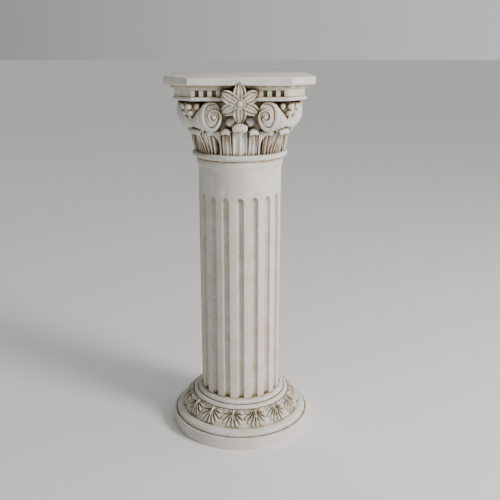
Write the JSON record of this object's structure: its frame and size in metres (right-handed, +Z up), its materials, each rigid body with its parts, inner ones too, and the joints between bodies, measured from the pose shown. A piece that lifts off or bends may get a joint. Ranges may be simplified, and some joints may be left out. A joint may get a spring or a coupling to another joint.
{
  "type": "fluted pedestal column with a leafy capital",
  "caption": "Cast stone pedestal column: round moulded foot with hanging palmettes, fluted shaft, leaf and volute capital with flowers, and an eight-sided slab on top",
  "frame": {"origin": "centre of the flat underside of the round foot", "axes": "+Z up along the shaft's axis; -Y towards the front, where one of the two flowers faces; +X to the right seen from the front"},
  "size_m": [0.3199, 0.32, 0.8],
  "materials": {
    "cast_stone": "matte cast stone, antiqued with a brown wash in the hollows"
  },
  "bodies": {
    "root": {"column": "cast_stone"}
  },
  "joints": []
}
